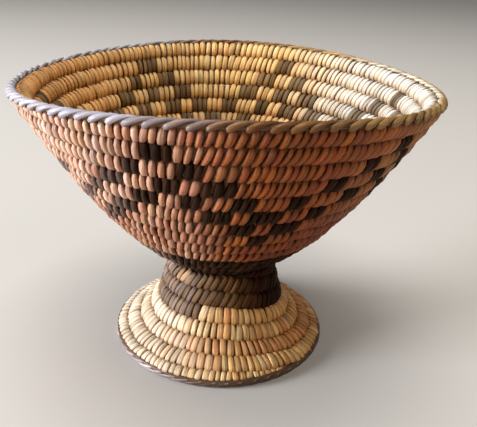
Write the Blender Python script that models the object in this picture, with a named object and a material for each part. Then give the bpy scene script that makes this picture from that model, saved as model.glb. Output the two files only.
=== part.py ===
"""A footed basket sewn in coils: a flaring bowl on a narrow neck and a spreading foot.

Its wall is a bundle of grass wound as a spiral, each turn lying on the one before it.
Stitches of split root wrap the bundle, so each course is a bundle inside a sleeve of
stitches. The bowl and the foot are two such coils, and a braid finishes each of their edges.
Metres, +Z up, the origin in the middle of the face that the basket stands on.
"""

import math

import bmesh
import bpy
import numpy as np
from mathutils import Vector
from mathutils.geometry import interpolate_bezier

# The bowl, measured on the middle of its wall
rim_radius = 0.0979
rim_height = 0.1405
rim_slope = math.radians(58.2)
floor_height = 0.0433
floor_curve_reach = 0.0457
wall_curve_reach = 0.0295
bowl_wall_thickness = 0.0077

# The rim isn't level: front and back are this much higher and both sides lower, and the right is
# higher than the left. Both fade towards the middle of the floor.
rim_saddle = 0.0026
rim_lean = 0.0013
rim_fade = 3

# The neck and the foot, measured the same way
neck_radius = 0.0255
neck_slope = math.radians(72.6)
neck_curve_reach = 0.0105
foot_edge_radius = 0.0558
foot_edge_slope = math.radians(18.5)
foot_curve_reach = 0.0303
foot_wall_thickness = 0.0067

# The courses: how many share each wall, and how their sections are shaped
bowl_courses = 16
foot_courses = 7
bowl_first_course_share = 0.877
bowl_last_course_share = 0.9
foot_first_course_share = 0.85
foot_last_course_share = 0.7
flat_share = 0.5
stitch_thickness = 0.0010
start_hole_radius = 0.0036

# Clearances between pieces
course_gap = 0.00068
wrap_gap = 0.0003
seat_gap = 0.0003
braid_gap = 0.0001

# Where the coils climb from one course to the next, as azimuths from the front
climb_share = 0.28
bowl_climb_azimuth = math.radians(-10)
foot_climb_azimuth = math.radians(-12)
clockwise, counterclockwise = -1, 1
bowl_seam_turn = 0.5
foot_seam_turn = 0.0

# How thin the coils are at their tips, as a share of a whole course
wrap_tip_share = 0.15
bundle_tip_share = 0.45
least_wrap_turn = 0.6

# Which courses are dark, counted from each coil's start
dark_bowl_courses = 6
dark_neck_courses = 3

# The braids: half their width across the wall, half their height along it, and how far their
# middle lies towards the outer side
rim_braid_half_width = 0.0026
rim_braid_half_height = 0.0016
rim_braid_overhang = 0.0014
foot_braid_half_width = 0.0028
foot_braid_half_height = 0.0012
foot_braid_overhang = 0.0
rest_cut = 0.0005

# The knot that the bowl's coil starts from
knot_half_height = 0.0030

# How finely round things are cut
profile_points = 300
rings_per_turn = 24
small_turn_radius = 0.022
small_turn_rings = 12
least_ring_share = 0.07
smooth_angle = math.radians(40)
braid_rings_per_coil_ring = 2
braid_sides = 8
knot_sides = 12
least_step = least_ring_share / rings_per_turn


def material(name, colour, roughness):
    """A plain Principled material"""
    made = bpy.data.materials.new(name)
    made.use_nodes = True
    shader = made.node_tree.nodes["Principled BSDF"]
    shader.inputs["Base Color"].default_value = (*colour, 1)
    shader.inputs["Roughness"].default_value = roughness
    return made


def add_object(name, bm, finish):
    """Turn a finished bmesh into a named object with its material"""
    bmesh.ops.recalc_face_normals(bm, faces=bm.faces)
    mesh = bpy.data.meshes.new(name)
    bm.to_mesh(mesh)
    bm.free()
    mesh.materials.append(finish)
    mesh.shade_smooth()
    mesh.set_sharp_from_angle(angle=smooth_angle)
    made = bpy.data.objects.new(name, mesh)
    bpy.context.collection.objects.link(made)
    return made


class Profile:
    """The middle line of a wall in the (radius, height) plane, walked by its length"""

    def __init__(self, start, start_slope, start_reach, end, end_slope, end_reach, thickness,
                 saddle=0, lean=0):
        start, end = Vector(start), Vector(end)
        near = start + start_reach * Vector((math.cos(start_slope), math.sin(start_slope)))
        far = end - end_reach * Vector((math.cos(end_slope), math.sin(end_slope)))
        self.points = np.array(interpolate_bezier(start, near, far, end, profile_points))
        steps = np.hypot(*np.diff(self.points, axis=0).T)
        self.lengths = np.concatenate([[0], np.cumsum(steps)])
        self.length = float(self.lengths[-1])
        self.thickness = thickness
        self.saddle = saddle
        self.lean = lean

    def frame(self, length):
        """Point, direction along the wall and direction across it, at a length"""
        point = np.array([np.interp(length, self.lengths, axis) for axis in self.points.T])
        index = int(np.clip(np.searchsorted(self.lengths, length), 1, len(self.lengths) - 1))
        along = self.points[index] - self.points[index - 1]
        along = along / np.hypot(*along)
        across = np.array([along[1], -along[0]])
        return point, along, across

    def rise(self, azimuth, length):
        """How much higher the saddle and the lean make the wall"""
        at_rim = self.saddle * math.cos(2 * azimuth) + self.lean * math.sin(azimuth)
        return at_rim * (length / self.length) ** rim_fade

    def place(self, flat_point, azimuth, length):
        """A point of the wall's section as a point in space"""
        radius, height = flat_point
        return Vector((radius * math.sin(azimuth), -radius * math.cos(azimuth),
                       height + self.rise(azimuth, length)))


class Coil:
    """A spiral of courses on a profile: level for most of a turn, then one smooth climb"""

    def __init__(self, profile, courses, first_level, first_share, last_share, turning, climb_azimuth,
                 seam_turn):
        self.profile = profile
        self.courses = courses
        self.first_level = first_level
        self.first_share = first_share
        self.pitch = (profile.length - first_level) / (courses - 2 + first_share + last_share)
        self.turning = turning
        self.climb_azimuth = climb_azimuth
        self.wrap_tips = self.tips(wrap_tip_share)
        self.bundle_tips = self.tips(bundle_tip_share)
        self.seams = self.turns_with_seams(seam_turn)
        self.ring_turns = self.turns_with_rings()

    def climbed(self, turn):
        """How many courses the coil has climbed after this many turns"""
        whole = math.floor(turn)
        share = min((turn - whole) / climb_share, 1)
        return whole + (1 - math.cos(math.pi * share)) / 2

    def band(self, turn):
        """The lengths on the profile between which the course lies"""
        high = self.first_level + (self.climbed(turn) - 1 + self.first_share) * self.pitch
        low = max(high - self.pitch, self.first_level)
        return low, min(high, self.profile.length)

    def share(self, turn):
        """The course's height there, as a share of a whole course"""
        low, high = self.band(turn)
        return (high - low) / self.pitch

    def tips(self, tip_share):
        """The turns at which the coil starts and ends, where it is this thin"""
        steps = np.linspace(0, climb_share, profile_points)
        start = next(turn for turn in steps if self.share(turn) >= tip_share)
        end = next(turn for turn in steps[::-1] if self.share(self.courses + turn) >= tip_share)
        return float(start), float(self.courses + end)

    def turns_with_seams(self, seam_turn):
        """Where one piece of stitching ends and the next begins"""
        first, last = self.wrap_tips
        seams = [whole + seam_turn for whole in range(self.courses + 1)]
        return [turn for turn in seams if first + least_wrap_turn < turn < last - least_wrap_turn]

    def azimuth(self, turn):
        return self.climb_azimuth + self.turning * turn * math.tau

    def turns_with_rings(self):
        """Every turn at which the coil's pieces have a ring of points: all its pieces share them"""
        fixed = [*self.wrap_tips, *self.bundle_tips, *self.seams]
        found = list(fixed)
        for whole in range(self.courses + 1):
            radius = self.radius(min(whole + climb_share, self.courses))
            count = small_turn_rings if radius < small_turn_radius else rings_per_turn
            evenly = [whole + step / count for step in range(count)]
            found += [turn for turn in evenly if min(abs(turn - other) for other in fixed) > least_step]
        return sorted(found)

    def turns_between(self, start, end):
        """The rings of a piece of the coil, from its start to its end"""
        inner = [turn for turn in self.ring_turns if start + least_step < turn < end - least_step]
        return [start, *inner, end]

    def middle(self, turn):
        """The length on the profile at which the middle of the course lies"""
        return sum(self.band(turn)) / 2

    def radius(self, turn):
        """How far the middle of the course lies from the axis"""
        return float(self.profile.frame(self.middle(turn))[0][0])

    def section(self, turn, shape):
        """The corners of a shape in the course's section, in the (radius, height) plane"""
        share = self.share(turn)
        middle, along, across = self.profile.frame(self.middle(turn))
        return [middle + across * sideways * math.sqrt(share) + along * up * share
                for sideways, up in shape]

    def ring(self, turn, shape):
        """The same corners in space"""
        azimuth = self.azimuth(turn)
        middle, share = self.middle(turn), self.share(turn)
        return [self.profile.place(corner, azimuth, middle + up * share)
                for corner, (_, up) in zip(self.section(turn, shape), shape)]


def course_size(coil):
    """Half the width and height of a whole course"""
    return coil.profile.thickness / 2, (coil.pitch - course_gap) / 2


def course_shape(coil):
    """A course's six-sided section: flat towards its neighbours, bulging at both sides"""
    half_width, half_height = course_size(coil)
    flat = flat_share * half_width
    return [(half_width, 0), (flat, half_height), (-flat, half_height),
            (-half_width, 0), (-flat, -half_height), (flat, -half_height)]


def bore_size(coil):
    """Half the width and height of the four-sided bore, a stitch inside the course's sides"""
    half_width, half_height = course_size(coil)
    side_slant = math.hypot(half_height, half_width * (1 - flat_share)) / half_height
    return half_width - side_slant * stitch_thickness, half_height - stitch_thickness


def diamond(half_width, half_height):
    return [(half_width, 0), (0, half_height), (-half_width, 0), (0, -half_height)]


def bundle_shape(coil):
    """The bundle's section: the bore, less the clearance on each of its four sides"""
    half_width, half_height = bore_size(coil)
    side_distance = half_width * half_height / math.hypot(half_width, half_height)
    share = 1 - wrap_gap / side_distance
    return diamond(half_width * share, half_height * share)


def join_rings(bm, rings):
    """Quads from each ring of points to the next"""
    for here, there in zip(rings, rings[1:]):
        for index in range(len(here)):
            after = (index + 1) % len(here)
            bm.faces.new((here[index], here[after], there[after], there[index]))


def bundle(name, coil, finish):
    """One unbroken tube, from the coil's first tip to its last"""
    bm = bmesh.new()
    turns = coil.turns_between(*coil.bundle_tips)
    shape = bundle_shape(coil)
    rings = [[bm.verts.new(corner) for corner in coil.ring(turn, shape)] for turn in turns]
    join_rings(bm, rings)
    bm.faces.new(rings[0])
    bm.faces.new(rings[-1])
    return add_object(name, bm, finish)


def wrap(name, coil, start, end, finish):
    """The stitches of about one turn: a sleeve round the bundle, open at both ends"""
    bm = bmesh.new()
    turns = coil.turns_between(start, end)
    outer_shape = course_shape(coil)
    bore_shape = diamond(*bore_size(coil))
    outer = [[bm.verts.new(corner) for corner in coil.ring(turn, outer_shape)] for turn in turns]
    bore = [[bm.verts.new(corner) for corner in coil.ring(turn, bore_shape)] for turn in turns]
    join_rings(bm, outer)
    join_rings(bm, bore)
    for rim, hole in ((outer[0], bore[0]), (outer[-1], bore[-1])):
        bm.faces.new((rim[0], rim[1], hole[1], hole[0]))
        bm.faces.new((rim[1], rim[2], hole[1]))
        bm.faces.new((rim[2], rim[3], hole[2], hole[1]))
        bm.faces.new((rim[3], rim[4], hole[3], hole[2]))
        bm.faces.new((rim[4], rim[5], hole[3]))
        bm.faces.new((rim[5], rim[0], hole[0], hole[3]))
    return add_object(name, bm, finish)


def wraps(coil, name_and_finish):
    """All of a coil's stitches, a piece for each turn, parted at one azimuth"""
    first, last = coil.wrap_tips
    breaks = [first, *coil.seams, last]
    for index, (start, end) in enumerate(zip(breaks, breaks[1:])):
        start_trim = wrap_gap / (2 * math.tau * coil.radius(start)) if index > 0 else 0
        end_trim = wrap_gap / (2 * math.tau * coil.radius(end)) if end != last else 0
        name, finish = name_and_finish(index)
        wrap(name, coil, start + start_trim, end - end_trim, finish)


def braid_section(profile, half_width, half_height, overhang):
    """The braid's oval, lying on the coil's last edge, in the (radius, height) plane"""
    end, along, across = profile.frame(profile.length)
    middle = end + along * (braid_gap + half_height) + across * overhang
    angles = [math.tau * (side + 0.5) / braid_sides for side in range(braid_sides)]
    reach = 1 / math.cos(math.pi / braid_sides)
    return [middle + reach * (across * half_width * math.cos(angle)
                              + along * half_height * math.sin(angle)) for angle in angles]


def braid(name, coil, section, finish, floor=None):
    """A closed ring on a coil's edge, lined up with its rings, and cut flat where it stands"""
    bm = bmesh.new()
    profile = coil.profile
    corners = [bm.verts.new(profile.place(corner, coil.climb_azimuth, 0)) for corner in section]
    face = bm.faces.new(corners)
    bmesh.ops.spin(bm, geom=[face, *face.edges, *face.verts], cent=(0, 0, 0), axis=(0, 0, 1),
                   angle=math.tau, steps=braid_rings_per_coil_ring * rings_per_turn, use_merge=True)
    bmesh.ops.delete(bm, geom=[f for f in bm.faces if len(f.verts) == braid_sides],
                     context="FACES_ONLY")
    for vert in bm.verts:
        vert.co.z += profile.rise(math.atan2(vert.co.x, -vert.co.y), profile.length)
    if floor is not None:
        bmesh.ops.bisect_plane(bm, geom=[*bm.verts, *bm.edges, *bm.faces], plane_co=(0, 0, floor),
                               plane_no=(0, 0, -1), clear_outer=True)
        open_edges = [edge for edge in bm.edges if edge.is_boundary]
        bmesh.ops.bridge_loops(bm, edges=open_edges)
    return add_object(name, bm, finish)


def knot(name, coil, finish):
    """The small round start that the first turn winds about"""
    bm = bmesh.new()
    bmesh.ops.create_uvsphere(bm, u_segments=knot_sides, v_segments=knot_sides // 2, radius=1)
    radius = coil.first_level - seat_gap
    bmesh.ops.scale(bm, verts=bm.verts, vec=(radius, radius, knot_half_height))
    bmesh.ops.translate(bm, verts=bm.verts, vec=(0, 0, floor_height))
    return add_object(name, bm, finish)


def corner_distance(corner, start, end):
    """How far a corner lies from an edge"""
    edge = end - start
    share = np.clip(np.dot(corner - start, edge) / np.dot(edge, edge), 0, 1)
    return float(np.hypot(*(corner - start - share * edge)))


def least_gap(coil, shape, start, end):
    """The least distance between a turn and the next, measured at the points of every ring"""
    least = math.inf
    for turn in coil.ring_turns:
        if start <= turn and turn + 1 <= end:
            inner = coil.section(turn, shape)
            outer = coil.section(turn + 1, shape)
            for these, those in ((inner, outer), (outer, inner)):
                for corner in these:
                    for edge_start, edge_end in zip(those, [*those[1:], those[0]]):
                        least = min(least, corner_distance(corner, edge_start, edge_end))
    return least


def neck_top(bowl, radius):
    """The height at which the neck's first course seats under the bowl"""
    inner_corner = radius - flat_share * foot_wall_thickness / 2
    lengths = np.linspace(0, bowl.length, profile_points)
    frames = [bowl.frame(length) for length in lengths]
    under = np.array([point + across * bowl.thickness / 2 for point, _, across in frames])
    return float(np.interp(inner_corner, under[:, 0], under[:, 1])) - seat_gap + course_gap / 2


def foot_edge_height():
    """The height of the foot's last edge, from which its braid reaches the floor"""
    half_height = foot_braid_half_height
    reach = 1 / math.cos(math.pi / braid_sides)
    down = math.hypot(foot_braid_half_width * math.cos(foot_edge_slope),
                      half_height * math.sin(foot_edge_slope)) * reach
    beyond = (braid_gap + half_height) * math.sin(foot_edge_slope)
    under = foot_braid_overhang * math.cos(foot_edge_slope)
    return down + beyond + under - rest_cut


for stale in list(bpy.data.objects):
    bpy.data.objects.remove(stale, do_unlink=True)

natural = material("natural stitches", (0.60, 0.40, 0.20), 0.55)
dark = material("dark stitches", (0.075, 0.055, 0.042), 0.6)
grass = material("grass bundle", (0.50, 0.41, 0.22), 0.8)
braided = material("braided edge", (0.30, 0.25, 0.21), 0.55)

# The bowl, from the knot in the middle of its floor out to its rim
bowl_profile = Profile((0, floor_height), 0, floor_curve_reach,
                       (rim_radius, rim_height), rim_slope, wall_curve_reach,
                       bowl_wall_thickness, rim_saddle, rim_lean)
bowl = Coil(bowl_profile, bowl_courses, start_hole_radius, bowl_first_course_share,
            bowl_last_course_share, clockwise, bowl_climb_azimuth, bowl_seam_turn)
bundle("bowl_foundation", bowl, grass)
wraps(bowl,
      lambda index: (f"bowl_stitching_{index + 1:02d}", dark if index < dark_bowl_courses else natural))
knot("start_knot", bowl, dark)
rim_section = braid_section(bowl_profile, rim_braid_half_width, rim_braid_half_height,
                            rim_braid_overhang)
braid("rim_braid", bowl, rim_section, braided)

# The neck and the foot, from under the bowl out to the floor
foot_profile = Profile((neck_radius, neck_top(bowl_profile, neck_radius)), -neck_slope, neck_curve_reach,
                       (foot_edge_radius, foot_edge_height()), -foot_edge_slope, foot_curve_reach,
                       foot_wall_thickness)
foot = Coil(foot_profile, foot_courses, 0, foot_first_course_share,
            foot_last_course_share, counterclockwise, foot_climb_azimuth, foot_seam_turn)
bundle("foot_foundation", foot, grass)
wraps(foot,
      lambda index: ((f"neck_stitching_{index + 1}", dark) if index < dark_neck_courses
                     else (f"foot_stitching_{index + 1 - dark_neck_courses}", natural)))
foot_section = braid_section(foot_profile, foot_braid_half_width, foot_braid_half_height,
                             foot_braid_overhang)
braid("foot_edge_braid", foot, foot_section, braided, floor=0)

for name, coil in (("bowl", bowl), ("foot", foot)):
    wrap_least = least_gap(coil, course_shape(coil), *coil.wrap_tips)
    bundle_least = least_gap(coil, bundle_shape(coil), *coil.bundle_tips)
    print(f"{name}: {coil.courses} courses of {coil.pitch * 1000:.2f} mm,",
          f"least gap {wrap_least * 1000:.2f} mm between the stitching's turns",
          f"and {bundle_least * 1000:.2f} mm between the bundle's")
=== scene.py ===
# %% [markdown]
# # A coiled basket on a foot
#
# The basket is sewn, not woven. A bundle of grass is wound as a spiral, and a splint of split root wraps
# it, stitch by stitch, and catches the turn below. We see hardly anything but stitches, so the work here
# is one good stitch, laid some two thousand times where the coil runs, and a braid on each edge.
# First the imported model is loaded: it fixes where everything is.

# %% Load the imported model
import math

import bmesh
import bpy
import numpy as np
from mathutils import Matrix, Vector
from mathutils.geometry import interpolate_bezier


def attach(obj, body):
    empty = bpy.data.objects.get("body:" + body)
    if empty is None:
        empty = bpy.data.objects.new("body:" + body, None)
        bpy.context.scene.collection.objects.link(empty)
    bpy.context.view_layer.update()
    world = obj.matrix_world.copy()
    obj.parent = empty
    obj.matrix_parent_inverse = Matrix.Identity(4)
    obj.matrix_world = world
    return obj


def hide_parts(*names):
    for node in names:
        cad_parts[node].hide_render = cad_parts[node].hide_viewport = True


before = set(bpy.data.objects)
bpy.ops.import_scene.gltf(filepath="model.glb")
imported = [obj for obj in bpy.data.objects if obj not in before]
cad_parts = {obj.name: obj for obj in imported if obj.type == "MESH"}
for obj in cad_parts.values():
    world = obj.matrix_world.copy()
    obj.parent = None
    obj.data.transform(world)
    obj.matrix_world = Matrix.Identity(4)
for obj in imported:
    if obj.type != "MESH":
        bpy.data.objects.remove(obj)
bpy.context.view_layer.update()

for leftover in ("Cube", "Light", "Camera"):
    if leftover in bpy.data.objects:
        bpy.data.objects.remove(bpy.data.objects[leftover])
print(len(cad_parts), "nodes in the frame")

# %% [markdown]
# The camera stands close to the basket and looks down into it. A close camera makes the near edge of the
# rim large and the foot small, so its distance matters as much as its direction. It could be placed by
# eye, but here it was worked out from the ovals of the rim and the foot. The turns are applied in the
# order of a tripod's head: roll first, then pitch, then the turn to the side.

# %% The camera
image_width = 477
focal_length_in_pixels = 599.5
nearest_seen = 0.01
camera_place = (-0.0003, -0.2918, 0.1959)
camera_pitch = math.radians(23.44)
camera_roll = math.radians(2.90)
camera_turn = math.radians(-1.64)

camera_data = bpy.data.cameras.new("camera")
camera_data.lens = focal_length_in_pixels * camera_data.sensor_width / image_width
camera_data.clip_start = nearest_seen
camera = bpy.data.objects.new("camera", camera_data)
camera.matrix_world = (Matrix.Translation(camera_place)
                       @ Matrix.Rotation(camera_turn, 4, "Z")
                       @ Matrix.Rotation(math.pi / 2 - camera_pitch, 4, "X")
                       @ Matrix.Rotation(camera_roll, 4, "Z"))
bpy.context.scene.collection.objects.link(camera)
bpy.context.scene.camera = camera
print(f"a lens of {camera_data.lens:.1f} mm")

# %% [markdown]
# ## The line that the coil follows
#
# Both walls are turned shapes: a curve in the plane of radius and height. We walk along that curve by its
# length, because a course of the coil takes the same length of wall wherever it lies. The rim of the
# real basket isn't level: front and back are a little higher than its sides, and the right is higher than
# the left. Both fade towards the middle, so the floor stays true.

# %% A wall
rim_fade = 3
wall_points = 300


class Wall:
    """The middle line of a wall, walked by its length"""

    def __init__(self, start, start_slope, start_reach, end, end_slope, end_reach, saddle=0, lean=0):
        start, end = Vector(start), Vector(end)
        near = start + start_reach * Vector((math.cos(start_slope), math.sin(start_slope)))
        far = end - end_reach * Vector((math.cos(end_slope), math.sin(end_slope)))
        self.points = np.array(interpolate_bezier(start, near, far, end, wall_points))
        steps = np.hypot(*np.diff(self.points, axis=0).T)
        self.lengths = np.concatenate([[0], np.cumsum(steps)])
        self.length = self.lengths[-1]
        self.slopes = np.gradient(self.points, self.lengths, axis=0)
        self.saddle = saddle
        self.lean = lean

    def frame(self, lengths):
        """Points of the line, with the directions along it and across it"""
        middle = np.stack([np.interp(lengths, self.lengths, part) for part in self.points.T], -1)
        along = np.stack([np.interp(lengths, self.lengths, part) for part in self.slopes.T], -1)
        along = along / np.linalg.norm(along, axis=-1, keepdims=True)
        return middle, along, np.stack([along[..., 1], -along[..., 0]], -1)

    def place(self, lengths, azimuths, across, along):
        """Points in space, off the line by so much across the wall and along it"""
        middle, along_way, across_way = self.frame(lengths)
        flat = middle + across_way * across[..., None] + along_way * along[..., None]
        share = ((lengths + along) / self.length).clip(0) ** rim_fade
        rise = share * (self.saddle * np.cos(2 * azimuths) + self.lean * np.sin(azimuths))
        return np.stack([flat[..., 0] * np.sin(azimuths), -flat[..., 0] * np.cos(azimuths),
                         flat[..., 1] + rise], -1)


bowl_wall_thickness = 0.0077
bowl_wall = Wall(start=(0, 0.0433), start_slope=0, start_reach=0.0457,
                 end=(0.0979, 0.1405), end_slope=math.radians(58.2), end_reach=0.0295,
                 saddle=0.0026, lean=0.0013)
print(f"the bowl's wall is {bowl_wall.length * 1000:.0f} mm from the middle of its floor to its rim")

# %% [markdown]
# The neck starts under the bowl, where the bowl's lower side is at the neck's own radius. It then spreads
# into the foot, whose edge lies one braid above the floor. Both heights come from the pieces that meet
# there, so nothing floats and nothing sinks.

# %% The foot's wall
foot_wall_thickness = 0.0067
neck_radius = 0.0255
foot_edge_radius = 0.0558
foot_edge_slope = math.radians(18.5)
foot_edge_height = 0.0028

lengths = np.linspace(0, bowl_wall.length, wall_points)
middle, _, across = bowl_wall.frame(lengths)
underside = middle + across * bowl_wall_thickness / 2
neck_inner_corner = neck_radius - foot_wall_thickness / 4
neck_top = np.interp(neck_inner_corner, underside[:, 0], underside[:, 1])
foot_wall = Wall(start=(neck_radius, neck_top), start_slope=math.radians(-72.6), start_reach=0.0105,
                 end=(foot_edge_radius, foot_edge_height), end_slope=-foot_edge_slope, end_reach=0.0303)
print(f"the neck starts {neck_top * 1000:.1f} mm up")
print(f"the foot's wall is {foot_wall.length * 1000:.0f} mm long")

# %% [markdown]
# A coil lies level for most of a turn, then climbs one course in a short stretch, as a basket maker's does.
# A turn is counted from the coil's start, and azimuths from the front, positive to the right. Seen from
# above the bowl's coil runs clockwise and the foot's the other way.

# %% A coil on a wall
climb_share = 0.28
least_share = 0.05


class Coil:
    """A spiral of courses on a wall"""

    def __init__(self, wall, courses, first_level, first_share, last_share, turning, climb_azimuth,
                 outer, thickness):
        self.wall = wall
        self.courses = courses
        self.first_level = first_level
        self.first_share = first_share
        self.pitch = (wall.length - first_level) / (courses - 2 + first_share + last_share)
        self.turning = turning
        self.climb_azimuth = climb_azimuth
        self.outer = outer
        self.half_width = thickness / 2

    def climbed(self, turns):
        """How many courses the coil has climbed after these turns"""
        whole = np.floor(turns)
        share = np.minimum((turns - whole) / climb_share, 1)
        return whole + (1 - np.cos(np.pi * share)) / 2

    def band(self, turns):
        """The lengths on the wall between which the course lies"""
        high = self.first_level + (self.climbed(turns) - 1 + self.first_share) * self.pitch
        low = np.maximum(high - self.pitch, self.first_level)
        return low, np.minimum(high, self.wall.length)

    def share(self, turns):
        """The course's height as a share of a whole course: it is less at the coil's tips"""
        low, high = self.band(turns)
        return np.maximum((high - low) / self.pitch, least_share)

    def middle(self, turns):
        low, high = self.band(turns)
        return (low + high) / 2

    def azimuth(self, turns):
        return self.climb_azimuth + self.turning * turns * math.tau

    def radius(self, turns):
        return np.interp(self.middle(turns), self.wall.lengths, self.wall.points[:, 0])

    def place(self, turns, out, up):
        """Points in space, from the middle of the course: out of the wall, and on to the next course"""
        share = self.share(turns)
        return self.wall.place(self.middle(turns), self.azimuth(turns),
                               self.outer * out * np.sqrt(share), up * share)


bowl_coil = Coil(bowl_wall, courses=16, first_level=0.0036, first_share=0.877, last_share=0.9,
                 turning=-1, climb_azimuth=math.radians(-10), outer=1, thickness=bowl_wall_thickness)
foot_coil = Coil(foot_wall, courses=7, first_level=0, first_share=0.85, last_share=0.7,
                 turning=1, climb_azimuth=math.radians(-12), outer=-1, thickness=foot_wall_thickness)
for coil in (bowl_coil, foot_coil):
    print(f"{coil.courses} courses, {coil.pitch * 1000:.2f} mm apart")

# %% [markdown]
# ## One stitch
#
# A stitch is a flat splint bent round the bundle: plump where it crosses the face of the course, narrow
# where it dives between two stitches of the next. It could be cut from a curve with a bevel, but a
# small ring is enough: six corners of a rounded strip, spun about the coil's line in twelve steps. A spin
# of a face leaves that face behind at every step, inside the ring, so those are deleted. The faces stay
# few because the stitch is used so often. We keep only how far round, how deep and how far aside each
# point lies, and shape it when it is laid.

# %% Spin a stitch
strip = [(1.23, 0.26, 0), (1.10, 0.45, 0), (0.92, 0.48, 0), (0.92, -0.48, 0), (1.10, -0.45, 0),
         (1.23, -0.26, 0)]
strip_depth = 0.25
stitch_steps = 12


def spun_stitch():
    bm = bmesh.new()
    face = bm.faces.new([bm.verts.new(corner) for corner in strip])
    bmesh.ops.spin(bm, geom=[face, *face.edges, *face.verts], cent=(0, 0, 0), axis=(0, 1, 0),
                   angle=math.tau, steps=stitch_steps, use_merge=True)
    sections = [face for face in bm.faces if len(face.verts) == len(strip)]
    bmesh.ops.delete(bm, geom=sections, context="FACES_ONLY")
    bmesh.ops.recalc_face_normals(bm, faces=bm.faces)
    mesh = bpy.data.meshes.new("stitch")
    bm.to_mesh(mesh)
    bm.free()
    return mesh


stitch = spun_stitch()
print("a stitch has", len(stitch.polygons), "faces")

# %% [markdown]
# A splint shows its fibres along its length, so each piece needs a map that runs with it. The map's first
# number goes across the splint and its second along it, both in millimetres. Where a face crosses the
# seam of the ring, its numbers are carried on past the full circle.

# %% Read the ring's own map
def corners_round(mesh, values, circle):
    """The values at the faces' corners, carried on where a face crosses the seam"""
    found = values[[loop.vertex_index for loop in mesh.loops]]
    for face in mesh.polygons:
        part = found[face.loop_start:face.loop_start + face.loop_total]
        if part.max() - part.min() > circle / 2:
            part[part < circle / 2] += circle
    return found


points = np.array([vert.co for vert in stitch.vertices])
stitch_round = np.arctan2(points[:, 2], points[:, 0])
stitch_deep = 1 - (np.hypot(points[:, 0], points[:, 2]) - 1) / strip_depth
stitch_aside = points[:, 1]
stitch_round_corners = corners_round(stitch, (stitch_round + math.pi / 2) % math.tau, math.tau)
stitch_aside_corners = stitch_aside[[loop.vertex_index for loop in stitch.loops]]
print(f"depths from {stitch_deep.min():.1f} to {stitch_deep.max():.1f}")

# %% [markdown]
# ## Where the stitches go
#
# Each stitch passes between two stitches of the course below, so the rows interlock. We lay them in the
# order of sewing: the next stitch goes above the gap between two earlier ones, moved sideways by the
# stitches' lean. As the bowl widens the gaps grow, and whenever they have grown by a whole stitch
# together, one more is slipped in. A little smoothing spreads the crowd that it makes.
# The first turn has no row below it, so its stitches are laid evenly.

# %% Lay the stitches
even_turns = 1.2
least_gap, widest_gap = 0.55, 1.7
owed_stitch = 0.5
smoothings = 4


def laid_stitches(coil, first, last, spacing, lean):
    """The turn of each stitch; the lean is a function of the turn"""
    def step(turn):
        return spacing / (math.tau * coil.radius(turn))

    def slot(index):
        turn = (turns[index] + turns[index + 1]) / 2 + 1
        sideways = coil.pitch * math.tan(lean(turn))
        return turn + coil.turning * sideways / (math.tau * coil.radius(turn))

    turns = [first]
    while turns[-1] < min(first + even_turns, last):
        turns.append(turns[-1] + step(turns[-1]))
    below, owed = 0, 0
    while turns[-1] < last:
        wanted = step(turns[-1])
        while slot(below) < turns[-1] + least_gap * wanted:
            below += 1
        gap = slot(below) - turns[-1]
        owed += gap / wanted - 1
        if owed > owed_stitch or gap > widest_gap * wanted:
            turns.append(turns[-1] + gap / 2)
            owed -= 1
        turns.append(slot(below))
        below += 1
    turns = np.array(turns)
    for _ in range(smoothings):
        turns[1:-1] = turns[1:-1] / 2 + (turns[:-2] + turns[2:]) / 4
    return turns


bowl_spacing, foot_spacing = 0.0034, 0.0032
bowl_lean_left, bowl_lean_right = math.radians(5), math.radians(16)
lean_changes_from, lean_changes_to = math.radians(-24), math.radians(-6)
neck_lean = math.radians(-22)
neck_lean_ends, neck_lean_fade, foot_lean_share = 3.4, 1.2, 0.1


def bowl_lean(turn):
    """Upright at the left of the front, leaning to the right from there on"""
    azimuth = (bowl_coil.azimuth(turn) + math.pi) % math.tau - math.pi
    share = np.clip((azimuth - lean_changes_from) / (lean_changes_to - lean_changes_from), 0, 1)
    return bowl_lean_left + (bowl_lean_right - bowl_lean_left) * share


def foot_lean(turn):
    """Leaning the other way on the neck, and nearly upright on the foot"""
    return neck_lean * np.clip((neck_lean_ends - turn) / neck_lean_fade, foot_lean_share, 1)


bowl_turns = laid_stitches(bowl_coil, first=0.10, last=16.27, spacing=bowl_spacing, lean=bowl_lean)
foot_turns = laid_stitches(foot_coil, first=0.03, last=7.27, spacing=foot_spacing, lean=foot_lean)
print(len(bowl_turns), "stitches on the bowl and", len(foot_turns), "on the neck and foot")

# %% [markdown]
# ## The dark pattern
#
# Six stepped peaks stand round the bowl. Two zigzag lines, one block thick, climb to each peak and fall to
# each valley: four steps, each one course down. A block is about three stitches of dark splint. We only
# need the peaks' and valleys' azimuths, because the steps between them are even. The courses of the floor
# and the neck are dark all round.

# %% Find the dark stitches
peak_azimuths = [-85.2, -15.5, 48, 101, 157, 213.5]
valley_azimuths = [-46.7, 12.5, 74.5, 131, 186, 242]
steps_to_valley = 4
first_row, second_row = 2, 4
block_width_low, block_width_high = 0.0100, 0.0094
low_turn, high_turn = 8, 15
dark_bowl_courses, dark_neck_turns = 6, 2.975


def pattern_blocks():
    """Each block's row, counted from the rim, and its azimuth"""
    blocks = []
    for peak in peak_azimuths:
        for side in (-1, 1):
            distances = [side * (valley - peak) % 360 for valley in valley_azimuths]
            reach = side * min(distances)
            for step in range(steps_to_valley + 1):
                azimuth = math.radians(peak + reach * step / steps_to_valley)
                blocks += [(first_row + step, azimuth), (second_row + step, azimuth)]
    return blocks


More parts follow.
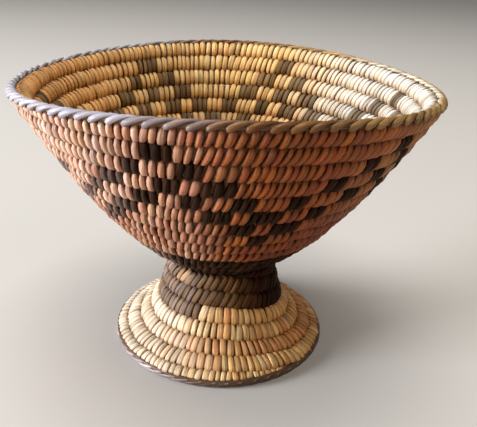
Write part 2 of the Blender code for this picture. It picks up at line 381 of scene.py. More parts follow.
def is_dark(coil, turn, blocks):
    """Whether the stitch at this turn lies in one of the blocks"""
    row = coil.courses + 1 - round(float(coil.climbed(turn)))
    azimuth = coil.azimuth(turn)
    width = np.interp(turn, (low_turn, high_turn), (block_width_low, block_width_high))
    half_block = width / 2 / coil.radius(turn)
    return any(row == block_row and abs((azimuth - centre + math.pi) % math.tau - math.pi) < half_block
               for block_row, centre in blocks)


blocks = pattern_blocks()
bowl_dark = np.array([turn < dark_bowl_courses + 0.5 or is_dark(bowl_coil, turn, blocks)
                      for turn in bowl_turns])
foot_dark = foot_turns < dark_neck_turns
print(int(bowl_dark.sum()), "dark stitches on the bowl, in", len(set(blocks)), "blocks and on the floor")

# %% [markdown]
# ## Colours
#
# Split root isn't one colour. Every splint is a mix of a few tones, a little lighter or darker than its
# neighbour, and the side that faces the air is weathered differently from the side inside the bowl. So
# each stitch gets two mixes of its own, and its ends and sides, deep between the rows and its neighbours,
# are darkened with painted shade. Many tones are also painted light and shade for one side of the basket.
# The colour is stored at the points, where the material reads it.

# %% Mix the splints' tones
# Many tones below are painted light and shade for one side of the basket: the shaded, tan and near-black
# tones stand for shade on the right outside and on the neck's right, and the pale tones for the dark
# splints, the foot and the neck at the left, and the grey tones inside at the right, stand for light.
outer_light = [(0.877, 0.636, 0.555), (0.749, 0.445, 0.344), (0.642, 0.307, 0.211), (0.909, 0.763, 0.644),
               (0.728, 0.519, 0.300)]
outer_shaded = [(0.413, 0.107, 0.027), (0.288, 0.065, 0.017), (0.499, 0.186, 0.032), (0.336, 0.110, 0.023)]
outer_tan = [(0.50, 0.24, 0.080), (0.40, 0.17, 0.050), (0.56, 0.32, 0.110)]
inner_light = [(0.82, 0.54, 0.20), (0.77, 0.46, 0.15), (0.84, 0.64, 0.30), (0.80, 0.51, 0.22)]
inner_shaded = [(0.85, 0.45, 0.150), (0.76, 0.38, 0.12), (0.86, 0.55, 0.22), (0.80, 0.44, 0.18)]
inner_painted_light = [(0.75, 0.75, 0.71), (0.74, 0.69, 0.60), (0.76, 0.77, 0.75), (0.72, 0.65, 0.55)]
outer_dark = [(0.028, 0.012, 0.006), (0.020, 0.009, 0.004), (0.056, 0.030, 0.017), (0.036, 0.014, 0.006)]
outer_dark_painted_light = [(0.23, 0.172, 0.150), (0.15, 0.108, 0.090), (0.31, 0.250, 0.230)]
inner_dark = [(0.23, 0.136, 0.056), (0.18, 0.118, 0.058), (0.26, 0.178, 0.095), (0.18, 0.104, 0.050)]
inner_dark_painted_light = [(0.26, 0.205, 0.150), (0.21, 0.165, 0.115), (0.32, 0.260, 0.200)]
foot_light = [(0.78, 0.51, 0.20), (0.74, 0.40, 0.135), (0.82, 0.62, 0.31), (0.68, 0.32, 0.12)]
foot_painted_light = [(0.882, 0.758, 0.577), (0.853, 0.682, 0.474), (0.892, 0.806, 0.660), (0.813, 0.586, 0.400)]
neck_dark = [(0.130, 0.066, 0.026), (0.090, 0.044, 0.018), (0.19, 0.110, 0.052), (0.19, 0.086, 0.030)]
neck_painted_shade = [(0.0234, 0.0075, 0.0024), (0.0172, 0.0054, 0.0024), (0.0328, 0.0122, 0.0054)]
neck_painted_light = [(0.25, 0.180, 0.118), (0.18, 0.122, 0.084), (0.24, 0.190, 0.180), (0.31, 0.200, 0.118)]
worn_tones = [(0.44, 0.27, 0.16), (0.33, 0.19, 0.11), (0.50, 0.36, 0.24)]
tone_mingling = 0.8
darkest_splint, lightest_splint = 0.7, 1.3
chance = np.random.default_rng(7)


def mixed(palette, count, spread=0.10):
    """A colour for each splint"""
    shares = chance.dirichlet(np.full(len(palette), tone_mingling), count)
    brightness = chance.normal(1, spread, (count, 1)).clip(darkest_splint, lightest_splint)
    return (shares @ np.array(palette)) * brightness


def blended(one, other, share):
    """From one colour to the other, by a share for each splint"""
    share = np.asarray(share)[:, None]
    return one * (1 - share) + other * share


def smooth_step(value, start, end):
    share = np.clip((value - start) / (end - start), 0, 1)
    return share * share * (3 - 2 * share)


print("sixteen palettes of splints")

# %% [markdown]
# ## Laying the stitches
#
# A piece of sewing is one course's stitches of one colour. The ring is copied once for each stitch, and
# then all their points are set together: round the course, out to its face, sideways by the splint's
# width and by its lean. Copying with a bmesh is quick, and moving the points with arrays is quicker than
# touching them one by one. Each piece stands for the plain sleeve of the same course.
#
# Three faces are described: the outside of the bowl, with plump stitches, the foot's, with broad flat
# ones, and the side inside. The bulge is how far a stitch's sides lie below its back, and the flatness keeps
# that fall to its very sides. The squareness shapes the course's section, the widths are what is left at a
# stitch's two ends, the roundness is how soon it gets there, and the fill is its share of its place.

# %% Sew a piece
# The last two numbers of each face set the painted shade at a stitch's ends and sides.
bowl_face = {"bulge": 0.0014, "flatness": 1.0, "squareness": 0.88, "top_width": 0.40, "low_width": 0.26,
             "roundness": 0.75, "fill": 0.91, "end_shade": 0.66, "side_shade": 0.72}
foot_face = {"bulge": 0.0009, "flatness": 1.9, "squareness": 0.62, "top_width": 0.74, "low_width": 0.66,
             "roundness": 0.6, "fill": 1.01, "end_shade": 0.50, "side_shade": 0.70}
inner_face = {"bulge": 0.0009, "flatness": 1.7, "squareness": 0.80, "top_width": 0.34, "low_width": 0.58,
              "roundness": 0.7, "fill": 0.98, "end_shade": 0.50, "side_shade": 0.74}
stitch_overlap = 0.0006
proud_spread, shift_spread = 0.00015, 0.00022
skin_gap = 0.0002
up_squareness, end_sharpness, side_sharpness, pinch = 0.9, 3, 2, 0.5
inner_lean = -0.65
inner_lower_shade = np.array([0.05, 0.21, 0.42])
shade_warmth = np.array([0.80, 1.05, 1.25])
splint_length = 22.0
map_reach = 900


def own_mesh(name, template, count):
    """As many copies of a template, in one mesh"""
    bm = bmesh.new()
    for _ in range(count):
        bm.from_mesh(template)
    mesh = bpy.data.meshes.new(name)
    bm.to_mesh(mesh)
    bm.free()
    return mesh


def finish_piece(name, mesh, places, colours, across, along, material, nodes):
    """Place a mesh's points, give it its colours and its map, and let it stand for its nodes"""
    mesh.vertices.foreach_set("co", places.astype(np.float32).ravel())
    tint = mesh.attributes.new("tint", "FLOAT_COLOR", "POINT")
    solid = np.concatenate([colours, np.ones((*colours.shape[:-1], 1))], -1)
    tint.data.foreach_set("color", solid.astype(np.float32).ravel())
    splint_map = mesh.uv_layers.new(name="splint")
    splint_map.data.foreach_set("uv", np.stack([across, along], -1).astype(np.float32).ravel())
    mesh.shade_smooth()
    mesh.materials.append(material)
    mesh.update()
    piece = bpy.data.objects.new(name, mesh)
    bpy.context.scene.collection.objects.link(piece)
    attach(piece, "root")
    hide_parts(*nodes)
    return piece


def sewn(name, coil, turns, widths, leans, outer_colours, inner_colours, material, node, face):
    """The stitches at these turns, as one piece; the face is the shape of their outer side"""
    faces_out = np.cos(stitch_round) > 0

    def shape(key):
        return np.where(faces_out, face[key], inner_face[key])

    count = len(turns)
    proud = chance.normal(0, proud_spread, (count, 1))
    shift = chance.normal(0, shift_spread, (count, 1))
    upper = coil.outer * np.sin(stitch_round)
    out_share = np.abs(np.cos(stitch_round)) ** shape("squareness")
    up_share = np.sign(np.sin(stitch_round)) * np.abs(np.sin(stitch_round)) ** up_squareness
    end_width = np.where(upper > 0, shape("top_width"), shape("low_width"))
    width_share = end_width + (1 - end_width) * np.abs(np.cos(stitch_round)) ** shape("roundness")
    width_share = width_share * shape("fill")
    sunk = stitch_deep.clip(0) ** shape("flatness") * shape("bulge")
    out = np.where(faces_out, 1, -1) * out_share * (coil.half_width + skin_gap - sunk + proud)
    up = up_share * (coil.pitch / 2 + stitch_overlap - pinch * sunk) + shift
    lean_share = inner_lean + (1 - inner_lean) * smooth_step(np.cos(stitch_round), -0.5, 0.5)

    aside = coil.outer * stitch_aside * width_share * widths[:, None]
    aside = aside + up * np.tan(leans)[:, None] * lean_share
    radius = coil.radius(turns)[:, None]
    point_turns = turns[:, None] + coil.turning * aside / (math.tau * radius)
    places = coil.place(point_turns, out, np.broadcast_to(up, point_turns.shape))

    inside = smooth_step(-np.cos(stitch_round), -0.3, 0.3)[None, :, None]
    colours = outer_colours[:, None] * (1 - inside) + inner_colours[:, None] * inside
    # Painted shade: a stitch darkens towards its ends and its sides, deep in the gaps, and that shade is
    # tinted redder than the splint.
    shade = 1 - shape("end_shade") * np.abs(np.sin(stitch_round)) ** end_sharpness
    shade = shade * (1 - shape("side_shade") * np.clip(stitch_deep, 0, 1) ** side_sharpness)
    colours = colours * shade[None, :, None] ** shade_warmth
    # Painted shade: inside the bowl each stitch's lower part is darker and more orange.
    colours = colours * (1 - inside * smooth_step(-upper, -0.3, 0.9)[None, :, None] * inner_lower_shade)
    across = stitch_aside_corners * widths[:, None] * 1000 + chance.uniform(0, map_reach, (count, 1))
    along = stitch_round_corners / math.tau * splint_length + chance.uniform(0, map_reach, (count, 1))
    mesh = own_mesh(name, stitch, count)
    return finish_piece(name, mesh, places, colours, across, along, material, [node])


print("ready to sew")

# %% [markdown]
# ## The finish of a splint
#
# Split root is a bundle of fine fibres with a satin skin. Its streaks follow the piece's own map, so they
# run along every stitch whichever way it turns, and they both tint it and raise it a little. Slow
# blotches on the object's coordinates carry from stitch to stitch, like handling and dust, and fine
# flecks break the skin.

# %% A splint material
noise_roughness = 0.6
fibre_range = (0.3, 0.7)
fibre_stretch = (1.3, 0.11, 1)
fibre_height = 0.0003


def noise(nodes, links, vector, scale, detail):
    made = nodes.new("ShaderNodeTexNoise")
    made.inputs["Scale"].default_value = scale
    made.inputs["Detail"].default_value = detail
    made.inputs["Roughness"].default_value = noise_roughness
    links.new(vector, made.inputs["Vector"])
    return made.outputs["Fac"]


def ranged(nodes, links, value, low, high, to_low, to_high):
    made = nodes.new("ShaderNodeMapRange")
    for name, number in (("From Min", low), ("From Max", high), ("To Min", to_low), ("To Max", to_high)):
        made.inputs[name].default_value = number
    links.new(value, made.inputs["Value"])
    return made.outputs["Result"]


def times(nodes, links, one, other):
    made = nodes.new("ShaderNodeMath")
    made.operation = "MULTIPLY"
    links.new(one, made.inputs[0])
    links.new(other, made.inputs[1])
    return made.outputs["Value"]


def splint_material(name, streaks, roughness, bump, gloss):
    """Fibrous split root, tinted by each splint's own colour"""
    material = bpy.data.materials.new(name)
    material.use_nodes = True
    nodes, links = material.node_tree.nodes, material.node_tree.links
    shader = nodes["Principled BSDF"]
    tint = nodes.new("ShaderNodeAttribute")
    tint.attribute_name = "tint"
    own_map = nodes.new("ShaderNodeUVMap")
    own_map.uv_map = "splint"
    stretch = nodes.new("ShaderNodeMapping")
    stretch.inputs["Scale"].default_value = fibre_stretch
    links.new(own_map.outputs["UV"], stretch.inputs["Vector"])
    place = nodes.new("ShaderNodeTexCoord").outputs["Object"]

    fibres = noise(nodes, links, stretch.outputs["Vector"], scale=1.0, detail=4)
    blotches = noise(nodes, links, place, scale=70, detail=3)
    flecks = noise(nodes, links, place, scale=1500, detail=2)
    shade = times(nodes, links, ranged(nodes, links, fibres, *fibre_range, 1 - streaks, 1 + streaks * 0.6),
                  ranged(nodes, links, blotches, *fibre_range, 0.86, 1.10))
    shade = times(nodes, links, shade, ranged(nodes, links, flecks, 0.25, 0.5, 0.86, 1.0))
    toned = nodes.new("ShaderNodeVectorMath")
    toned.operation = "SCALE"
    links.new(tint.outputs["Color"], toned.inputs[0])
    links.new(shade, toned.inputs["Scale"])
    links.new(toned.outputs["Vector"], shader.inputs["Base Color"])
    links.new(ranged(nodes, links, fibres, *fibre_range, roughness + 0.12, roughness - 0.10),
              shader.inputs["Roughness"])
    raised = nodes.new("ShaderNodeBump")
    raised.inputs["Strength"].default_value = bump
    raised.inputs["Distance"].default_value = fibre_height
    links.new(fibres, raised.inputs["Height"])
    links.new(raised.outputs["Normal"], shader.inputs["Normal"])
    shader.inputs["Specular IOR Level"].default_value = gloss
    return material


natural = splint_material("natural splints", streaks=0.50, roughness=0.48, bump=1.0, gloss=0.32)
dark = splint_material("dark splints", streaks=0.65, roughness=0.60, bump=1.0, gloss=0.06)
edging = splint_material("edging splints", streaks=0.36, roughness=0.38, bump=0.7, gloss=0.32)
print("three kinds of splint")

# %% [markdown]
# ## Sewing the bowl, the neck and the foot
#
# The sewing goes course by course. The real one is uneven: neighbours differ in width, and the lean
# wanders along a row. Small random numbers with a fixed start give that, the same in each run. The
# tones by side are painted light and shade, with some fading in them. The bowl's outside, the neck and the
# foot are paler to the left with painted light. To the right the bowl's outside turns tan and dark red in
# painted shade, the neck nearly black, and the bowl's inside pale grey with painted light; the inside is
# deeper orange in painted shade at the left. These tones may look too strong from other sides. The bowl's
# lowest light courses are a deeper brown, in painted shade. The foot's right is warmer in painted shade. The
# foot's third light row is pinkish at the front and the last is paler again, and one worn spot on the neck
# shows tan. A side runs from -1 at the far left to 1 at the far right, and a smooth step from one side to
# another makes it a share, by which one mix of tones blends into the next.

# %% Sew both coils
worn_from, worn_to = 0.885, 0.93
third_row_middle = 5.03
width_spread, narrowest, widest = 0.10, 0.78, 1.16
lean_wander = math.radians(4)
wander_waves, wander_row_step, wander_share = 2, 2.4, 0.6
tone_spread, dark_spread = 0.15, 0.2
low_shade_tint = np.array([0.35, 0.47, 0.56])
foot_right_shade_tint = np.array([-0.14, -0.04, 0.08])
third_row_tint = np.array([0.12, 0.26, 0.30])
last_row_tint = np.array([0.04, 0.11, 0.20])
foot_inner_shade = 0.8


def neighbour_widths(coil, turns):
    """The width of each stitch's place along the course, with a little chance"""
    gaps = np.gradient(turns) * math.tau * coil.radius(turns)
    return gaps * chance.normal(1, width_spread, len(turns)).clip(narrowest, widest)


def wandering(turns, amount):
    """A lean that wanders slowly along the rows, with a little chance in each stitch"""
    wave = np.sin(turns * math.tau * wander_waves + np.floor(turns) * wander_row_step)
    return amount * (wave * wander_share + chance.normal(0, wander_share, len(turns)))


def pieces_of(dark_ones, numbers, name, node_name):
    """Course numbers with the stitches of each colour in them"""
    for number in range(1, numbers.max() + 1):
        for shade in (False, True):
            chosen = (numbers == number) & (dark_ones == shade)
            if chosen.any():
                colour_name = "dark" if shade else "light"
                yield f"{name}_{number:02d}_{colour_name}", node_name(number), shade, chosen


bowl_numbers = np.floor(bowl_turns - 0.5).clip(0, bowl_coil.courses - 1).astype(int) + 1
bowl_widths = neighbour_widths(bowl_coil, bowl_turns)
bowl_leans = np.array([bowl_lean(turn) for turn in bowl_turns]) + wandering(bowl_turns, lean_wander)
bowl_sides = np.sin(bowl_coil.azimuth(bowl_turns))
low_courses = smooth_step(-bowl_turns, -13, -8.5)
# Painted shade: the outside is mixed towards the dark red shaded tones from the front to the right.
shaded = np.maximum(smooth_step(bowl_sides, -0.60, 0.10), 0.5 * low_courses)
# Painted shade: the lowest courses outside are darkened to a deeper brown, most at the right.
low_shade_share = (0.4 + 0.6 * smooth_step(bowl_sides, 0, 0.6)) * low_courses
# Painted light: dark splints are paler at the left outside, and the inside is pale grey at the right.
painted_light_left = smooth_step(-bowl_sides, 0.30, 0.75)
painted_light_right = smooth_step(bowl_sides, 0.30, 0.95)
# Painted shade: the inside is deeper orange at the left and in its lower courses.
inner_shade = np.maximum(smooth_step(-bowl_sides, 0.45, 0.95), smooth_step(-bowl_turns, -13.5, -8))
count = len(bowl_turns)
outer_tones = blended(mixed(outer_light, count, tone_spread), mixed(outer_shaded, count, tone_spread), shaded)
# The tan at the far right of the upper outside is a side tone that holds painted light and shade.
outer_tones = blended(outer_tones, mixed(outer_tan, count, tone_spread),
                    0.75 * smooth_step(bowl_sides, 0.45, 0.9) * (1 - low_courses))
outer_tones = outer_tones * (1 - low_shade_share[:, None] * low_shade_tint)
outer_dark_tones = blended(mixed(outer_dark, count, dark_spread), mixed(outer_dark_painted_light, count, dark_spread),
                         painted_light_left)
bowl_outer = np.where(bowl_dark[:, None], outer_dark_tones, outer_tones)
inner_tones = blended(mixed(inner_light, count), mixed(inner_shaded, count), inner_shade)
inner_dark_tones = blended(mixed(inner_dark, count, tone_spread), mixed(inner_dark_painted_light, count, tone_spread),
                         painted_light_right)
inner_tones = blended(inner_tones, mixed(inner_painted_light, count), painted_light_right)
bowl_inner = np.where(bowl_dark[:, None], inner_dark_tones, inner_tones)
for name, node, is_shade, chosen in pieces_of(bowl_dark, bowl_numbers, "bowl_course",
                                              "bowl_stitching_{:02d}".format):
    sewn(name, bowl_coil, bowl_turns[chosen], bowl_widths[chosen], bowl_leans[chosen],
         bowl_outer[chosen], bowl_inner[chosen], dark if is_shade else natural,
         node, bowl_face)

foot_numbers = np.floor(foot_turns).clip(0, foot_coil.courses - 1).astype(int) + 1
foot_widths = neighbour_widths(foot_coil, foot_turns)
foot_leans = np.array([foot_lean(turn) for turn in foot_turns]) + wandering(foot_turns, lean_wander)
count = len(foot_turns)
foot_left = -np.sin(foot_coil.azimuth(foot_turns))
# Painted light and shade: the neck is paler at the left and nearly black at the right, and the foot is paler
# at the left.
neck_colours = blended(mixed(neck_dark, count, dark_spread), mixed(neck_painted_light, count, tone_spread),
                     smooth_step(foot_left, -0.1, 0.7))
neck_colours = blended(neck_colours, mixed(neck_painted_shade, count, dark_spread),
                     smooth_step(-foot_left, 0.15, 0.75))
foot_colours = np.where(foot_dark[:, None], neck_colours,
                        blended(mixed(foot_light, count), mixed(foot_painted_light, count),
                              smooth_step(foot_left, -0.15, 0.85)))
# Painted warm shade: the foot's right is tinted redder and less blue.
foot_right_shade = smooth_step(-foot_left, 0.25, 0.8)[:, None] * foot_right_shade_tint
in_front = 1 - 0.8 * smooth_step(foot_left, 0.1, 0.65)
third_row = (smooth_step(-np.abs(foot_turns - third_row_middle), -0.45, -0.25) * in_front)[:, None]
last_row = (smooth_step(foot_turns, third_row_middle + 0.35, third_row_middle + 0.65) * in_front)[:, None]
foot_colours = foot_colours * (1 - foot_right_shade) * (1 - third_row * third_row_tint)
foot_colours = foot_colours * (1 + last_row * last_row_tint)
is_worn = (foot_turns > worn_from) & (foot_turns < worn_to)
foot_colours[is_worn] = mixed(worn_tones, is_worn.sum())


def foot_node(number):
    return f"neck_stitching_{number}" if number <= 3 else f"foot_stitching_{number - 3}"


for name, node, is_shade, chosen in pieces_of(foot_dark, foot_numbers, "foot_course", foot_node):
    sewn(name, foot_coil, foot_turns[chosen], foot_widths[chosen], foot_leans[chosen],
         foot_colours[chosen], foot_colours[chosen] * foot_inner_shade, dark if is_shade else natural,
         node, foot_face)
print("sewn")

# %% [markdown]
# ## The grass inside
#
# Between the stitches a little of the bundle shows. It is a tube with a lobed section, like stems packed
# side by side, that follows the coil from tip to tip. A curve with a bevel would do for a round cord,
# but this one is flatter than it is high, and thins at its tips, so a ring is extruded along the coil.

# %% Wind the bundles
stems = 9
stem_depth = 0.06
bundle_fill, bundle_height_fill = 0.80, 0.93
bundle_rings_per_turn = 40
# The grass's deep brown is painted shade, as it shows only in the gaps between stitches.
shaded_grass_tones = [(0.24, 0.115, 0.042), (0.28, 0.15, 0.06), (0.18, 0.08, 0.03)]


def bundle(name, coil, first, last, node):
    """A lobed tube along the coil"""
    turns = np.linspace(first, last, int((last - first) * bundle_rings_per_turn))
    around = np.arange(2 * stems) * math.tau / (2 * stems)
    lobes = 1 + stem_depth * np.cos(stems * around)
    out = np.cos(around) * lobes * (coil.half_width - bowl_face["bulge"]) * bundle_fill
    up = np.sin(around) * lobes * coil.pitch / 2 * bundle_height_fill
    shape = (len(turns), len(around))
    places = coil.place(np.broadcast_to(turns[:, None], shape), np.broadcast_to(out, shape),
                        np.broadcast_to(up, shape))
    bm = bmesh.new()
    ring = bmesh.ops.create_circle(bm, segments=len(around), radius=1, cap_ends=True)["verts"]
    for vert, place in zip(ring, places[0]):
        vert.co = place
    edges = list(bm.edges)
    for row in places[1:]:
        made = bmesh.ops.extrude_edge_only(bm, edges=edges)["geom"]
        edges = [part for part in made if isinstance(part, bmesh.types.BMEdge)]
        verts = [part for part in made if isinstance(part, bmesh.types.BMVert)]
        for vert, place in zip(verts, row):
            vert.co = place
    bmesh.ops.holes_fill(bm, edges=edges, sides=0)
    bmesh.ops.recalc_face_normals(bm, faces=bm.faces)
    mesh = bpy.data.meshes.new(name)
    bm.to_mesh(mesh)
    bm.free()
    points = np.array([vert.co for vert in mesh.vertices])
    colours = np.repeat(mixed(shaded_grass_tones, 1), len(points), 0)
    corners = points[[loop.vertex_index for loop in mesh.loops]] * 1000
    return finish_piece(name, mesh, points, colours, corners[:, 2] * 2, corners[:, 0] + corners[:, 1],
                        natural, [node])


bowl_grass = bundle("bowl_grass", bowl_coil, first=0.14, last=16.2, node="bowl_foundation")
bundle("foot_grass", foot_coil, first=0.05, last=7.2, node="foot_foundation")
print(len(bowl_grass.data.polygons), "faces in the bowl's bundle")

# %% [markdown]
# ## The braids
#
# The edges are finished with splints that wrap the last course slantwise, each lying over the start of
# the one before. From outside they read as a cord. A twisted tube would look too regular, so each strand is
# a shape of its own: a rounded rod, flattened, laid round the edge from the outside over to the inside.
# A plain dark core fills what lies between them; its dark brown is painted shade in the gaps. The rod is
# thick soon after its blunt end and tapers to the other.

# %% A strand
strand_rounds, strand_rings = 8, 11
ring_crowding, blunt_length, strand_taper = 1.25, 0.10, 0.30
very_tip = 0.999


def round_rod():
    bm = bmesh.new()
    bmesh.ops.create_uvsphere(bm, u_segments=strand_rounds, v_segments=strand_rings, radius=1)
    mesh = bpy.data.meshes.new("strand")
    bm.to_mesh(mesh)
    bm.free()
    return mesh


strand = round_rod()
points = np.array([vert.co for vert in strand.vertices])
strand_round = np.arctan2(points[:, 1], points[:, 0]) % math.tau
from_pole = np.arccos(np.clip(points[:, 2], -1, 1))
strand_along = (1 - from_pole / math.pi) ** ring_crowding
strand_thick = np.sqrt(np.minimum(strand_along / blunt_length, 1)) * (1 - strand_taper * strand_along ** 2)
strand_thick[strand_along > very_tip] = 0
strand_round_corners = corners_round(strand, strand_round, math.tau)
strand_along_corners = strand_along[[loop.vertex_index for loop in strand.loops]]
print("a strand has", len(strand.polygons), "faces")

# %% [markdown]
# A strand is laid out flat first, as if the edge's skin were unrolled: so far round the edge, so far along
# it. Then it is wrapped on. On the rim its blunt end stands a little proud and its far end sinks under the
# next; on the foot the blunt end hides under the last row of stitches. The strands' tones by side are
# painted light and shade: grey at the left with painted light, dark brown at the front in painted shade,
# and brown at the right. Their far ends are pale where they come over the edge, which on the rim's right is
# painted light, and their undersides are darkened with painted shade.

# %% Braid an edge
rim_tones = {"left": [(0.47, 0.47, 0.56), (0.40, 0.39, 0.45), (0.38, 0.34, 0.36), (0.56, 0.56, 0.68)],
             "front": [(0.172, 0.066, 0.014), (0.138, 0.052, 0.010), (0.225, 0.104, 0.030)],
             "right": [(0.40, 0.245, 0.088), (0.33, 0.200, 0.068)],
             "end": [(0.74, 0.69, 0.56), (0.64, 0.56, 0.42)]}
foot_edge_tones = {"left": [(0.42, 0.35, 0.38), (0.31, 0.25, 0.26), (0.54, 0.48, 0.49)],
                   "front": [(0.080, 0.046, 0.032), (0.120, 0.075, 0.057), (0.056, 0.031, 0.021)],
                   "right": [(0.13, 0.064, 0.028), (0.10, 0.047, 0.020)],
                   "end": [(0.78, 0.58, 0.33), (0.70, 0.46, 0.23)]}
shaded_core_tones = [(0.12, 0.066, 0.036)]
edge_tone_spread = 0.14
strand_width_spread, strand_run_spread, strand_start_spread, strand_place_spread = 0.08, 0.06, 0.10, 0.07
under_shade = 0.5
millimetres_round = 1.2


def braid(name, wall, count, fill, section, start, end, run, bend, thickness, proud, outer, tones, node,
          lowest=None):
    """Strands round a wall's edge, from one angle of its section to another, over a run along it"""
    overhang, beyond, half_width, half_height = section
    edge_radius = wall.points[-1, 0]
    mean_radius = (half_width + half_height) / 2
    way_round = (end - start) * mean_radius
    way = math.hypot(way_round, run)
    strand_half_width = math.tau * edge_radius / count * way_round / way / 2 * fill
    widths = chance.normal(1, strand_width_spread, (count, 1)).clip(0.85, 1.15)
    runs = run * chance.normal(1, strand_run_spread, (count, 1)).clip(0.88, 1.12)
    starts = start + chance.normal(0, strand_start_spread, (count, 1))
    azimuths = (np.arange(count) + chance.normal(0, strand_place_spread, count)) * math.tau / count

    sideways = outer * np.sin(strand_round) * strand_thick * strand_half_width * widths
    deep = (np.cos(strand_round) * strand_thick - 1) * thickness / 2
    deep = deep + proud * (1 - strand_along) ** 2
    angle = starts + (end - starts) * strand_along ** (1 / bend) - sideways * run / way / mean_radius
    length = runs * strand_along ** bend + sideways * way_round / way
    across = outer * (overhang + np.cos(angle) * (half_width + deep))
    along = beyond + np.sin(angle) * (half_height + deep)
    point_azimuths = azimuths[:, None] + length / edge_radius
    places = wall.place(np.full(point_azimuths.shape, wall.length), point_azimuths, across, along)
    if lowest is not None:
        places[..., 2] = np.maximum(places[..., 2], lowest)

    sides = np.sin(azimuths)
    # Painted light and shade: each strand is mixed from its side's tones, pale grey at the left and dark at
    # the front.
    colours = blended(mixed(tones["front"], count, edge_tone_spread),
                    mixed(tones["left"], count, edge_tone_spread), smooth_step(-sides, -0.08, 0.62))
    colours = blended(colours, mixed(tones["right"], count, edge_tone_spread), smooth_step(sides, 0.1, 0.65))
    # On the rim's right the far ends are painted pale with light.
    if outer > 0:
        share = smooth_step(sides, 0.75, 0.95)[:, None] * smooth_step(strand_along, 0.35, 0.7)
    else:
        share = smooth_step(sides, -0.5, 0)[:, None] * smooth_step(-strand_along, -0.30, -0.10)
    share = share[..., None]
    colours = colours[:, None] * (1 - share) + mixed(tones["end"], count)[:, None] * share
    # Painted shade: each strand darkens towards its underside.
    sunk = np.clip((1 - np.cos(strand_round)) / 2, 0, 1)
    colours = colours * (1 - under_shade * sunk)[None, :, None]
    across_map = strand_round_corners * millimetres_round + chance.uniform(0, map_reach, (count, 1))
    along_map = strand_along_corners * way * 1000 + chance.uniform(0, map_reach, (count, 1))
    mesh = own_mesh(name, strand, count)
    return finish_piece(name, mesh, places, colours, across_map, along_map, edging, [node])


rim = braid("rim_strands", bowl_wall, count=89, fill=1.0, section=(0.0009, 0.0009, 0.0023, 0.0020),
            start=math.radians(-22), end=math.radians(212), run=0.0155, bend=1.15, thickness=0.0020,
            proud=0.0007, outer=1, tones=rim_tones, node="rim_braid")
print(len(rim.data.vertices), "points in the rim's strands")

# %% [markdown]
# The foot's edge is braided the other way round, with fewer and longer strands, and stays above the floor.
# Both edges then get their core: a small oval ring, spun about the basket's own axis.

# %% The foot's edge, and a core in both
core_sides, core_steps = 8, 96
braid("foot_edge_strands", foot_wall, count=52, fill=1.15, section=(0.0001, 0.0001, 0.0028, 0.0023),
      start=math.radians(-12), end=math.radians(178), run=-0.0170, bend=1.45, thickness=0.0018,
      proud=-0.0013, outer=-1, tones=foot_edge_tones, node="foot_edge_braid", lowest=0)


def core(name, wall, section, outer, node):
    """The ring inside a braid: an oval face, spun about the basket's axis"""
    overhang, beyond, half_width, half_height = section
    bm = bmesh.new()
    ring = bmesh.ops.create_circle(bm, segments=core_sides, radius=1, cap_ends=True)["verts"]
    middle, along_way, across_way = wall.frame(np.array(wall.length))
    for vert in ring:
        across, along = outer * (overhang + vert.co.x * half_width), beyond + vert.co.y * half_height
        flat = middle + across_way * across + along_way * along
        vert.co = (0, -flat[0], flat[1])
    bmesh.ops.spin(bm, geom=[*bm.faces, *bm.edges, *bm.verts], cent=(0, 0, 0), axis=(0, 0, 1),
                   angle=math.tau, steps=core_steps, use_merge=True)
    sections = [face for face in bm.faces if len(face.verts) == core_sides]
    bmesh.ops.delete(bm, geom=sections, context="FACES_ONLY")
    bmesh.ops.recalc_face_normals(bm, faces=bm.faces)
    mesh = bpy.data.meshes.new(name)
    bm.to_mesh(mesh)
    bm.free()
    points = np.array([vert.co for vert in mesh.vertices])
    azimuths = np.arctan2(points[:, 0], -points[:, 1])
    points[:, 2] += wall.saddle * np.cos(2 * azimuths) + wall.lean * np.sin(azimuths)
    points[:, 2] = np.maximum(points[:, 2], 0)
    colours = np.repeat(mixed(shaded_core_tones, 1), len(points), 0)
    corners = points[[loop.vertex_index for loop in mesh.loops]] * 1000
    return finish_piece(name, mesh, points, colours, corners[:, 2] * 2, corners[:, 0] + corners[:, 1],
                        edging, [node])


core("rim_core", bowl_wall, (0.0009, 0.0008, 0.0014, 0.0012), 1, "rim_braid")
core("foot_edge_core", foot_wall, (0.0002, 0.0000, 0.0018, 0.0014), -1, "foot_edge_braid")
print("both edges are braided")

# %% [markdown]
# ## The start knot
#
# The coil starts from a small knot in the middle of the floor: a few splints folded over each other. Here
# it is five flat strands that cross above, each one turned from the last and lying a little higher, and
# five more that mirror them below. A mirror turns a strand inside out, so the two sideways directions are
# exchanged as well, which turns it back.

# %% Tie the start knot
knot_strands = 5
knot_half_length, knot_half_width, knot_half_height = 0.0034, 0.0012, 0.0026
knot_strand_half_depth, knot_settling, knot_layer = 0.0006, 0.0008, 0.0002
knot_map_round, knot_map_along = 1.0, 7
floor_height = bowl_wall.points[0, 1]
turned = (np.arange(knot_strands) * math.pi / knot_strands)[:, None]
reach = (2 * strand_along - 1) * knot_half_length
aside = -np.sin(strand_round) * strand_thick * knot_half_width
dome = np.sqrt(np.clip(1 - (reach / knot_half_length) ** 2, 0, 1))
height = np.cos(strand_round) * strand_thick * knot_strand_half_depth
height = height + dome * (knot_half_height - knot_settling)
places = np.stack([np.cos(turned) * reach - np.sin(turned) * aside,
                   np.sin(turned) * reach + np.cos(turned) * aside,
                   floor_height + height + knot_layer * np.arange(knot_strands)[:, None]], -1)
below = places.copy()
below[..., 2] = 2 * floor_height - below[..., 2]
below = below[..., [1, 0, 2]]
places = np.concatenate([places, below])
count = len(places)
colours = np.broadcast_to(mixed(inner_dark, count)[:, None], places.shape)
across_map = strand_round_corners * knot_map_round + chance.uniform(0, map_reach, (count, 1))
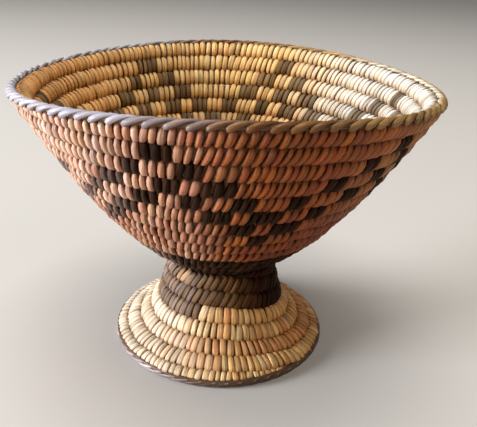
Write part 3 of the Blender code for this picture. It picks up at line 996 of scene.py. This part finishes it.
along_map = strand_along_corners * knot_map_along + chance.uniform(0, map_reach, (count, 1))
finish_piece("knot_strands", own_mesh("knot_strands", strand, count), places, colours,
             across_map, along_map, dark, ["start_knot"])
print("the knot has", count, "strands")

# %% [markdown]
# ## The floor
#
# The floor is plain and pale where the camera, a reflection or a clear thing shows it, and carries the
# basket's shadow. For the light that it throws back on the basket it is a warm brown, because that warms
# the underside of the bowl.

# %% The floor
floor_size = 12
floor_roughness = 0.9
bounced_colour = (0.32, 0.19, 0.12, 1)
shown_colour = (0.52, 0.505, 0.485, 1)
shown_glow = 0.12
bm = bmesh.new()
bmesh.ops.create_grid(bm, x_segments=1, y_segments=1, size=floor_size / 2)
floor_mesh = bpy.data.meshes.new("floor")
bm.to_mesh(floor_mesh)
bm.free()
floor = bpy.data.objects.new("floor", floor_mesh)
bpy.context.scene.collection.objects.link(floor)
pale = bpy.data.materials.new("pale floor")
pale.use_nodes = True
nodes, links = pale.node_tree.nodes, pale.node_tree.links
nodes["Principled BSDF"].inputs["Roughness"].default_value = floor_roughness
paths = nodes.new("ShaderNodeLightPath").outputs
seen = paths["Is Camera Ray"]
for other in ("Is Glossy Ray", "Is Transmission Ray"):
    either = nodes.new("ShaderNodeMath")
    either.operation = "MAXIMUM"
    links.new(seen, either.inputs[0])
    links.new(paths[other], either.inputs[1])
    seen = either.outputs["Value"]
shown = nodes.new("ShaderNodeMix")
shown.data_type = "RGBA"
shown.inputs["A"].default_value = bounced_colour
shown.inputs["B"].default_value = shown_colour
links.new(seen, shown.inputs["Factor"])
links.new(shown.outputs["Result"], nodes["Principled BSDF"].inputs["Base Color"])
links.new(shown.outputs["Result"], nodes["Principled BSDF"].inputs["Emission Color"])
glow = nodes.new("ShaderNodeMath")
glow.operation = "MULTIPLY"
glow.inputs[1].default_value = shown_glow
links.new(seen, glow.inputs[0])
links.new(glow.outputs["Value"], nodes["Principled BSDF"].inputs["Emission Strength"])
floor_mesh.materials.append(pale)
print("the floor is", floor_size, "m wide")

# %% [markdown]
# ## The light
#
# One soft lamp stands low at the left, as a window does, a wide one hangs above, two weak ones lighten the
# shadows, and the world fills in from all sides. That light is uneven: a plain grey renders at about its
# written value at the left of the bowl's outside and at the back inside, at a third of it at the right
# outside, and at one and three quarters of it at the right inside.

# %% Lamps and world
lit_middle = Vector((0, 0, 0.07))
world_colour, world_strength = (1.0, 0.96, 0.91, 1), 0.15


def soft_lamp(name, place, size, power, colour):
    """A square lamp that faces the basket"""
    data = bpy.data.lights.new(name, "AREA")
    data.size = size
    data.energy = power
    data.color = colour
    lamp = bpy.data.objects.new(name, data)
    lamp.location = place
    lamp.rotation_euler = (lit_middle - Vector(place)).to_track_quat("-Z", "Y").to_euler()
    bpy.context.scene.collection.objects.link(lamp)


soft_lamp("window", place=(-2.1, -0.50, 0.55), size=0.9, power=95, colour=(0.97, 0.98, 1.0))
soft_lamp("ceiling", place=(-0.2, 0.1, 2.3), size=1.5, power=40, colour=(1.0, 0.96, 0.90))
soft_lamp("fill", place=(-0.4, -2.2, 0.6), size=1.2, power=9, colour=(1.0, 0.87, 0.74))
soft_lamp("far wall", place=(1.6, -0.6, 1.5), size=1.2, power=8, colour=(1.0, 0.85, 0.68))

world = bpy.data.worlds.new("room")
world.use_nodes = True
world.node_tree.nodes["Background"].inputs["Color"].default_value = world_colour
world.node_tree.nodes["Background"].inputs["Strength"].default_value = world_strength
bpy.context.scene.world = world
bpy.context.scene.view_settings.view_transform = "Standard"
print("lit")
